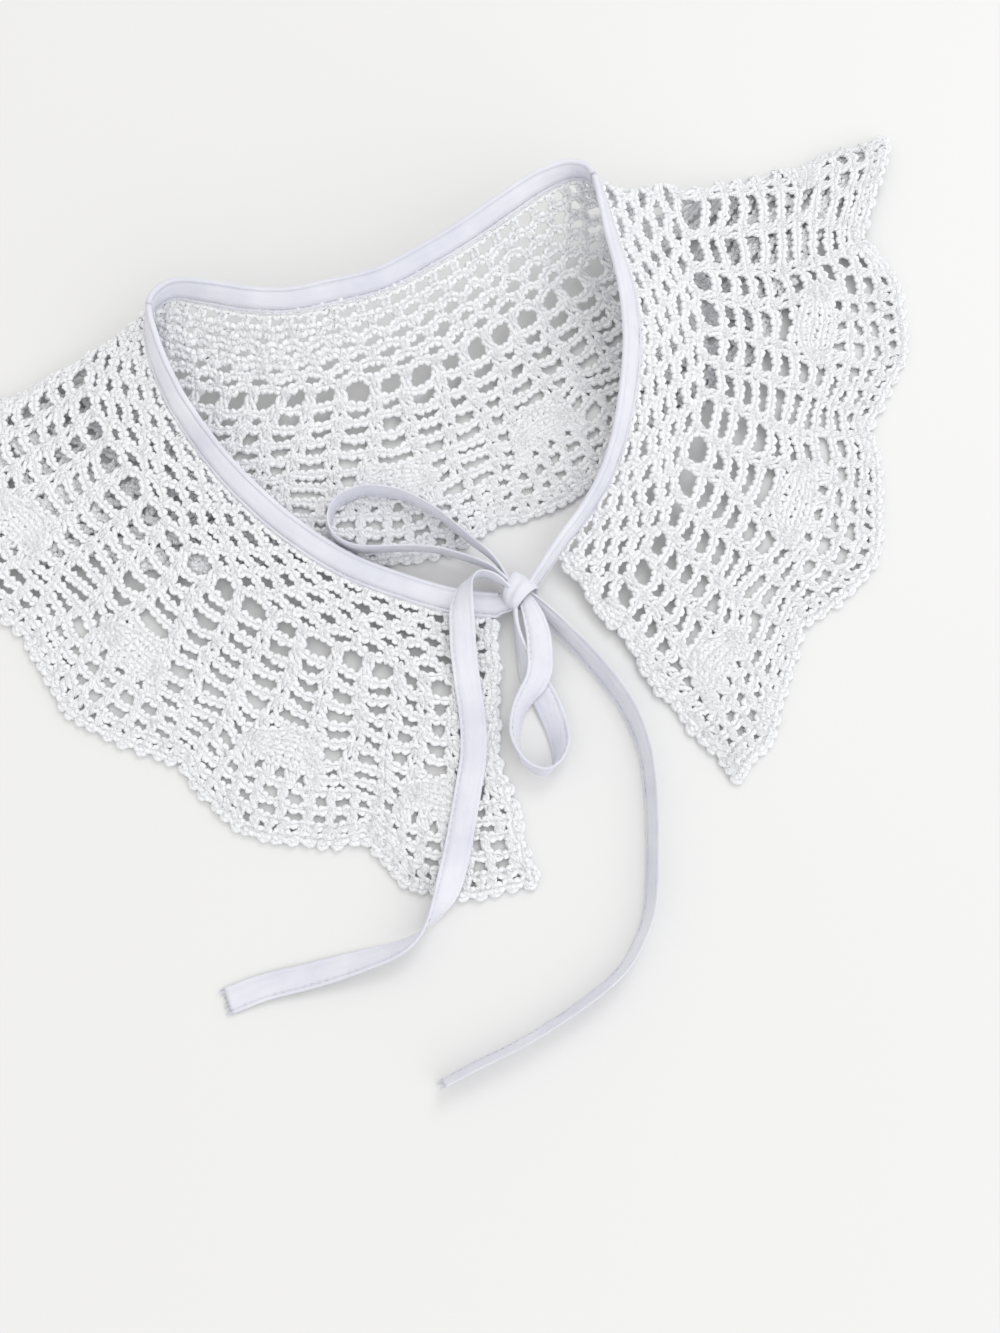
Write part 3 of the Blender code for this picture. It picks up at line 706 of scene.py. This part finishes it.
# Section of the tape as it lies sewn, from its stitched edge, 0, to its fold, 1: share
# of the width and half thickness over the net and on the ties
TAPE_SECTION = [(0.00, 0.62), (0.04, 1.02), (0.11, 0.98), (0.135, 0.50), (0.16, 0.98),
                (0.36, 1.06), (0.60, 0.98), (0.81, 0.86), (0.84, 0.60), (0.87, 0.84),
                (0.96, 0.62), (1.00, 0.16)]
BINDING_HALF = 1.45
TIE_HALF = 0.52

# Where the seam runs, as a share of the width
SEAM_SHARE = 0.13


def swept_tape(name, middle, across, face, width, half, wrinkle, seed):
    """Closed strip along stations, with the section of folded and stitched tape."""
    rng = np.random.default_rng(seed)
    section = np.array(TAPE_SECTION)
    b = np.concatenate([section[:, 0], section[::-1, 0]]) - 0.5
    n = np.concatenate([section[:, 1], -section[::-1, 1]])
    count = len(middle)
    length = run_length(middle)
    # Wrinkles across the tape that fade at its two edges, and puckers along the seam
    ripple = np.zeros((count, len(b)))
    for _ in range(9):
        pace, slant = rng.uniform(0.08, 0.75), rng.uniform(-3, 3)
        start, size = rng.uniform(0, ANY_PHASE), rng.uniform(0.3, 1)
        ripple += np.sin(length[:, None] * pace + slant * b[None] + start) * size
    ripple *= wrinkle * (1 - (2 * np.abs(b)) ** 4)[None] / 3
    pucker = 0.09 * np.sin(length[:, None] * 2.2) * np.exp(-((b[None] + 0.40) / 0.10) ** 2)
    body = middle[:, None] + across[:, None] * (b[None] * width[:, None])[..., None]
    skin = n[None] * half[:, None] + ripple + pucker * np.sign(n)[None]
    points = body + face[:, None] * skin[..., None]
    sides = len(b)
    row, corner = np.meshgrid(np.arange(count - 1), np.arange(sides), indexing="ij")
    after = (corner + 1) % sides
    quads = np.stack([row * sides + corner, row * sides + after,
                      (row + 1) * sides + after, (row + 1) * sides + corner], axis=-1).reshape(-1, 4)
    caps = []
    for end in (0, count - 1):
        for j in range(sides // 2 - 1):
            a, c = j, sides - 1 - j
            quad = [end * sides + a, end * sides + a + 1, end * sides + c - 1, end * sides + c]
            caps.append(quad if end == 0 else quad[::-1])
    quads = np.concatenate([quads, np.array(caps)])
    around = b * TAPE_WIDTH
    vertex_maps = np.stack(np.broadcast_arrays(length[:, None], around[None]), axis=-1).reshape(-1, 2)
    item = quad_object(name, points.reshape(-1, 3), quads, vertex_maps[quads.ravel()])
    fix_normals(item)
    return item


def fix_normals(item):
    """Turns all the faces of a closed strip outward."""
    shape = bmesh.new()
    shape.from_mesh(item.data)
    bmesh.ops.recalc_face_normals(shape, faces=shape.faces)
    shape.to_mesh(item.data)
    shape.free()


def binding(name, first, last, lead_in, lead_out, seed):
    """The tape folded over the net's neck edge, with its runs before and after the net."""
    lead_in, lead_out = (np.reshape(np.array(lead, float), (-1, 6)) for lead in (lead_in, lead_out))
    u = np.linspace(first, last, int((last - first) * 10) + 1)
    sewn = through(NECK, u)
    edges = np.concatenate([lead_in[:, :3], sewn, lead_out[:, :3]])
    folds = np.concatenate([lead_in[:, 3:], sewn + tape_direction(u) * TAPE_WIDTH, lead_out[:, 3:]])
    length = run_length(edges)
    at = np.arange(0, length[-1], 1.1)
    edge, fold = taken(at, length, edges), taken(at, length, folds)
    across = unit(fold - edge)
    width = np.linalg.norm(fold - edge, axis=-1)
    along = unit(np.gradient((edge + fold) / 2, axis=0))
    face = unit(np.cross(along, across))
    half = BINDING_HALF * np.clip(width / TAPE_WIDTH, 0.5, 1)
    tape = swept_tape(name, (edge + fold) / 2, across, face, width, half, 0.20, seed)
    stitches = stitching(name + "_stitches", edge, across, face, SEAM_SHARE * width, 0.86 * half)
    return tape, [stitches], at[-1] * MM


def stitching(name, edge, across, face, inset, height):
    """Topstitching: short machine stitches on both faces along the sewn edge."""
    yarn = Yarn()
    pitch, long, thread = 2.6, 2.0, 0.17
    # Each stitch dips into the tape at its two ends
    dip = np.array([-0.22, 0.10, 0.16, 0.10, -0.22])[None]
    length = run_length(edge)
    starts = np.arange(2, length[-1] - 4, pitch)
    at = starts[:, None] + np.linspace(0, long, dip.size)[None]
    line = taken(at, length, edge + across * inset[:, None])
    lift = taken(at, length, face)
    high = np.interp(at, length, height)
    for way in (-1, 1):
        yarn.tubes(line + lift * (way * (high + dip))[..., None], lift, thread)
    return yarn.mesh(name)


def tie(name, stations, seed, frayed):
    """A run of tie tape along its stations, stitched along one edge."""
    rows = np.array(stations, float)
    fine = np.linspace(0, len(rows) - 1, (len(rows) - 1) * 9 + 1)
    sample = through(rows, fine)
    middle = sample[:, :3]
    along = unit(np.gradient(middle, axis=0))
    side = unit(np.stack([-along[:, 1], along[:, 0], np.zeros(len(along))], axis=-1))
    lean = np.radians(sample[:, 4:5])
    across = side * np.cos(lean) + UP * np.sin(lean)
    face = unit(np.cross(along, across))
    across = unit(np.cross(face, along))
    width = sample[:, 3]
    half = TIE_HALF * (1 + 0.9 * (1 - width / TAPE_WIDTH))
    tape = swept_tape(name, middle, across, face, width, half, 0.17, seed)
    edge = middle - across * width[:, None] / 2
    extras = [stitching(name + "_stitches", edge, across, face, SEAM_SHARE * width, 0.82 * half)]
    if frayed:
        extras.append(frayed_end(name + "_threads", middle[-1], along[-1], across[-1], face[-1]))
    return tape, extras, np.linalg.norm(np.diff(middle, axis=0), axis=1).sum() * MM


def frayed_end(name, middle, along, across, face):
    """Loose threads at a tie's cut end."""
    yarn = Yarn()
    count = 30
    rng = np.random.default_rng(5)
    start = rng.uniform(-0.48, 0.48, count)[:, None]
    reach = rng.uniform(0.6, 2.8, count)[:, None]
    swing = rng.uniform(-0.8, 0.8, count)[:, None]
    t = np.linspace(0, 1, 6)[None]
    layer = rng.choice([-0.3, 0.3], count)[:, None]
    path = (middle + along * ((t * reach - 0.3)[..., None])
            + across * ((start * TAPE_WIDTH + swing * t ** 2)[..., None])
            + face * ((layer + rng.uniform(-0.4, 0.4, count)[:, None] * t ** 2)[..., None]))
    path[..., 2] = np.maximum(path[..., 2], 0.3)
    yarn.tubes(path, np.broadcast_to(face, path.shape), 0.13, sides=4)
    return yarn.mesh(name)


# The bow's knot: half its width, its height and its band, the thickness of its wall, and the
# power that fills out its round section
KNOT_CENTRE = np.array([39.8, -12.6, 8.0])
KNOT_AXIS = math.radians(141)
KNOT_WIDE = 6.5
KNOT_HIGH = 4.3
KNOT_BAND = 4.1
KNOT_WALL = 0.8
KNOT_SQUARE = 0.85


def squared(wave):
    """A sine or cosine filled out, so that a circle of it comes near a square."""
    return np.sign(wave) * np.abs(wave) ** KNOT_SQUARE


def knot(name):
    """The bow's knot: a flat turn of tape pulled tight round the bundle of ties."""
    axis = np.array([math.cos(KNOT_AXIS), math.sin(KNOT_AXIS), 0.0])
    across = np.array([axis[1], -axis[0], 0.0])
    rounds, ribs = 72, 26
    turn = 2 * math.pi * np.arange(rounds)[:, None] / rounds
    share = np.linspace(-1, 1, ribs)[None]
    rng = np.random.default_rng(8)
    crease = sum(rng.uniform(0.05, 0.16) * np.sin(share * rng.uniform(3, 8) + turn + rng.uniform(0, 6))
                 for _ in range(4))
    half_band = KNOT_BAND + 1.0 * np.cos(turn - 0.35)
    crown = 1 - 0.13 * np.abs(share) ** 2.5
    slide = 0.9 * np.sin(turn + 0.6)
    shells = []
    for inset, creased in ((0.0, 1.0), (KNOT_WALL, 0.0)):
        wide = (KNOT_WIDE - inset) * crown
        high = (KNOT_HIGH - inset) * crown + crease * creased
        ring = (across * (squared(np.cos(turn)) * wide)[..., None]
                + UP * (squared(np.sin(turn)) * high)[..., None])
        shells.append(KNOT_CENTRE + ring + axis * (share * half_band + slide)[..., None])
    grid = np.concatenate([shells[0], shells[1][:, ::-1]], axis=1)
    sides = 2 * ribs
    k, j = np.meshgrid(np.arange(rounds), np.arange(sides), indexing="ij")
    ahead, beside = (k + 1) % rounds, (j + 1) % sides
    quads = np.stack([k * sides + j, k * sides + beside, ahead * sides + beside, ahead * sides + j],
                     axis=-1).reshape(-1, 4)
    maps = np.stack([k + 0 * j, j], axis=-1).reshape(-1, 2) * 0.6
    item = quad_object(name, grid.reshape(-1, 3), quads, maps[quads.ravel()])
    fix_normals(item)
    return item


# Materials


def cotton(name, colour, roughness, sheen):
    """A cotton material with its nodes, links and shader."""
    material = bpy.data.materials.new(name)
    material.use_nodes = True
    nodes, links = material.node_tree.nodes, material.node_tree.links
    shader = nodes["Principled BSDF"]
    shader.inputs["Base Color"].default_value = colour
    shader.inputs["Roughness"].default_value = roughness
    shader.inputs["Sheen Weight"].default_value = sheen
    shader.inputs["Sheen Roughness"].default_value = 0.4
    shader.inputs["Specular IOR Level"].default_value = 0.25
    return material, nodes, links, shader


def noise(nodes, links, vector, scale, detail=3.0):
    """Noise over the surface, from 0 to 1."""
    texture = nodes.new("ShaderNodeTexNoise")
    texture.inputs["Scale"].default_value = scale
    texture.inputs["Detail"].default_value = detail
    links.new(vector, texture.inputs["Vector"])
    return texture.outputs["Fac"]


def tint(nodes, links, shader, share, dark, pale):
    """Colours the shader between two colours, each given with its place on the share."""
    ramp = nodes.new("ShaderNodeValToRGB")
    for element, (position, colour) in zip(ramp.color_ramp.elements, (dark, pale)):
        element.position = position
        element.color = colour
    links.new(share, ramp.inputs["Fac"])
    links.new(ramp.outputs["Color"], shader.inputs["Base Color"])


def maths(nodes, links, operation, *values):
    """A Math node whose inputs are outputs of other nodes, or numbers."""
    node = nodes.new("ShaderNodeMath")
    node.operation = operation
    for value, socket in zip(values, node.inputs):
        if isinstance(value, bpy.types.NodeSocket):
            links.new(value, socket)
        else:
            socket.default_value = value
    return node.outputs["Value"]


def relief(nodes, links, height, strength, distance):
    """A Bump node over that height, with distance in metres."""
    bump = nodes.new("ShaderNodeBump")
    bump.inputs["Strength"].default_value = strength
    bump.inputs["Distance"].default_value = distance
    links.new(height, bump.inputs["Height"])
    return bump


def yarn_material():
    """Soft white yarn with its plies and fuzz."""
    material, nodes, links, shader = cotton("crochet_yarn", (0.86, 0.865, 0.875, 1), 0.95, 0.25)
    shader.inputs["Subsurface Weight"].default_value = 0.35
    shader.inputs["Subsurface Radius"].default_value = (1, 1, 1)
    shader.inputs["Subsurface Scale"].default_value = 0.001
    place = nodes.new("ShaderNodeTexCoord")
    patches = noise(nodes, links, place.outputs["Object"], 140.0)
    tint(nodes, links, shader, patches, (0.35, (0.895, 0.907, 0.938, 1)), (0.7, (0.935, 0.946, 0.975, 1)))
    # Plies of the yarn, wound round each tube
    parts = nodes.new("ShaderNodeSeparateXYZ")
    links.new(place.outputs["UV"], parts.inputs["Vector"])
    turn = maths(nodes, links, "MULTIPLY", parts.outputs["Y"], 4 * math.pi)
    pace = maths(nodes, links, "MULTIPLY_ADD", parts.outputs["X"], 4.2, turn)
    ply = maths(nodes, links, "SINE", pace)
    fuzz = noise(nodes, links, place.outputs["Object"], 2600.0, 4.0)
    height = maths(nodes, links, "MULTIPLY_ADD", ply, 0.35, fuzz)
    bump = relief(nodes, links, height, 0.84, 0.0003)
    links.new(bump.outputs["Normal"], shader.inputs["Normal"])
    return material


def tape_material():
    """Woven cotton tape, with soft patches of painted shade, and its weave and creases."""
    material, nodes, links, shader = cotton("tape_cotton", (0.83, 0.84, 0.885, 1), 0.62, 0.35)
    place = nodes.new("ShaderNodeTexCoord")
    # Painted shade: broad soft patches where the colour darkens towards lilac grey stand in for the
    # shading of the tape's undulations
    patches = noise(nodes, links, place.outputs["Object"], 60.0)
    tint(nodes, links, shader, patches, (0.3, (0.655, 0.667, 0.752, 1)), (0.7, (0.765, 0.770, 0.830, 1)))
    # Plain weave cut on the bias
    turned = nodes.new("ShaderNodeMapping")
    turned.inputs["Rotation"].default_value = (0, 0, math.radians(45))
    links.new(place.outputs["UV"], turned.inputs["Vector"])
    bands = []
    for axis in ("X", "Y"):
        wave = nodes.new("ShaderNodeTexWave")
        wave.wave_type = "BANDS"
        wave.bands_direction = axis
        wave.inputs["Scale"].default_value = 1.1
        wave.inputs["Distortion"].default_value = 0.6
        links.new(turned.outputs["Vector"], wave.inputs["Vector"])
        bands.append(wave.outputs["Fac"])
    weave = maths(nodes, links, "MULTIPLY", *bands)
    threads = relief(nodes, links, weave, 0.25, 0.0001)
    # Creases that run along the tape
    stretched = nodes.new("ShaderNodeMapping")
    stretched.inputs["Scale"].default_value = (0.10, 0.55, 1)
    links.new(place.outputs["UV"], stretched.inputs["Vector"])
    streaks = noise(nodes, links, stretched.outputs["Vector"], 1.0, 4.0)
    creases = relief(nodes, links, streaks, 0.5, 0.0006)
    links.new(threads.outputs["Normal"], creases.inputs["Normal"])
    links.new(creases.outputs["Normal"], shader.inputs["Normal"])
    return material


def dress(item, material, node=None):
    """Gives a piece its material and its body, and the node that it replaces, if any."""
    item.data.materials.append(material)
    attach(item, "root")
    if node:
        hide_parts(node)


def dress_tape(tape, extras, node):
    """Finishes a strip of folded tape and the pieces that go with it."""
    dress(tape, TAPE_LOOK, node)
    for extra in extras:
        dress(extra, TAPE_LOOK)


# Building the collar

YARN_LOOK = yarn_material()
TAPE_LOOK = tape_material()

# Sections of the net, with the length of the outer edge, the depth and the area when
# flat, in metres
NET_PIECES = [("front_left", 0, LEFT_FOLD, "front_left_panel", 0.331, 0.107, 0.0240),
              ("back", LEFT_FOLD, RIGHT_FOLD, "back_panel", 0.498, 0.132, 0.0334),
              ("front_right", RIGHT_FOLD, LAST, "front_right_panel", 0.307, 0.133, 0.0226)]
for piece_name, start, stop, node, edge_long, depth, area in NET_PIECES:
    net_rows, net_stitches = net_piece(piece_name, start, stop)
    dress(net_rows, YARN_LOOK, node)
    dress(net_stitches, YARN_LOOK, node)

BINDINGS = [("binding_left", 0, LEFT_FOLD, LEFT_TAPE_END[::-1], [], "neck_binding_left", 1),
            ("binding_back", LEFT_FOLD, RIGHT_FOLD, [], [], "neck_binding_back", 2),
            ("binding_right", RIGHT_FOLD, LAST, [], RIGHT_TAPE_END, "neck_binding_right", 3)]
for piece_name, start, stop, lead_in, lead_out, node, seed in BINDINGS:
    tape, extras, tape_long = binding(piece_name, start, stop, lead_in, lead_out, seed)
    dress_tape(tape, extras, node)

TIES = [("loop_left_tape", BOW_LOOP_LEFT, "bow_loop_left", 4, False, "folded"),
        ("loop_down_tape", BOW_LOOP_DOWN, "bow_loop_down", 5, False, "folded"),
        ("tail_left_tape", TAIL_LEFT, "tie_tail_left", 6, True, "laid"),
        ("tail_right_tape", TAIL_RIGHT, "tie_tail_right", 7, True, "laid")]
for piece_name, stations, node, seed, frayed, held in TIES:
    tape, extras, tape_long = tie(piece_name, stations, seed, frayed)
    dress_tape(tape, extras, node)
dress_tape(knot("knot_tape"), [], "bow_knot")

# Table, light and camera, in metres

TABLE_SIZE = 6
TABLE_COLOUR = (0.765, 0.765, 0.765, 1)

# Lamps: name, place, what they face, width of the disc, watts and colour
LAMPS = [("window", (0.85, 1.55, 2.2), (0, 0, 0), 1.3, 13.7, (0.93, 0.967, 1.0)),
         ("room", (1.3, -1.3, 1.4), (0.1, -0.2, 0), 3.0, 17.3, (0.935, 0.968, 1.0))]
ROOM_COLOUR = (1.0, 0.986, 0.965, 1)
ROOM_STRENGTH = 0.905

# Camera: its place, its tilt from straight down, and its lens and sensor in millimetres
CAMERA_PLACE = (0.03223, -0.24327, 0.56382)
CAMERA_TILT = math.radians(20)
LENS = 45
SENSOR = 36


def table():
    """The white table top at z = 0, which is not part of the object."""
    bpy.ops.mesh.primitive_plane_add(size=TABLE_SIZE, location=(0, 0, 0))
    floor = bpy.context.object
    floor.name = "table_top"
    material = bpy.data.materials.new("table_white")
    material.use_nodes = True
    shader = material.node_tree.nodes["Principled BSDF"]
    shader.inputs["Base Color"].default_value = TABLE_COLOUR
    shader.inputs["Roughness"].default_value = 0.45
    floor.data.materials.append(material)


def area_light(name, location, target, size, energy, colour):
    """A round lamp at location that faces target."""
    data = bpy.data.lights.new(name, "AREA")
    data.shape = "DISK"
    data.size = size
    data.energy = energy
    data.color = colour
    lamp = bpy.data.objects.new(name, data)
    lamp.location = location
    direction = np.array(target) - np.array(location)
    yaw = math.atan2(direction[0], -direction[1])
    pitch = math.atan2(math.hypot(direction[0], direction[1]), -direction[2])
    lamp.rotation_euler = (pitch, 0, yaw + math.pi)
    bpy.context.scene.collection.objects.link(lamp)


def room_light():
    """Pale, even light from the room all round."""
    world = bpy.data.worlds.new("pale_room")
    world.use_nodes = True
    background = world.node_tree.nodes["Background"]
    background.inputs["Color"].default_value = ROOM_COLOUR
    background.inputs["Strength"].default_value = ROOM_STRENGTH
    bpy.context.scene.world = world
    bpy.context.scene.view_settings.view_transform = "Standard"


def camera():
    """The photo's view: from above and a little from the front."""
    data = bpy.data.cameras.new("camera")
    data.sensor_width = SENSOR
    data.sensor_height = SENSOR
    data.lens = LENS
    data.clip_start = 0.01
    item = bpy.data.objects.new("camera", data)
    item.location = CAMERA_PLACE
    item.rotation_euler = (CAMERA_TILT, 0, 0)
    bpy.context.scene.collection.objects.link(item)
    bpy.context.scene.camera = item


table()
for lamp_facts in LAMPS:
    area_light(*lamp_facts)
room_light()
camera()
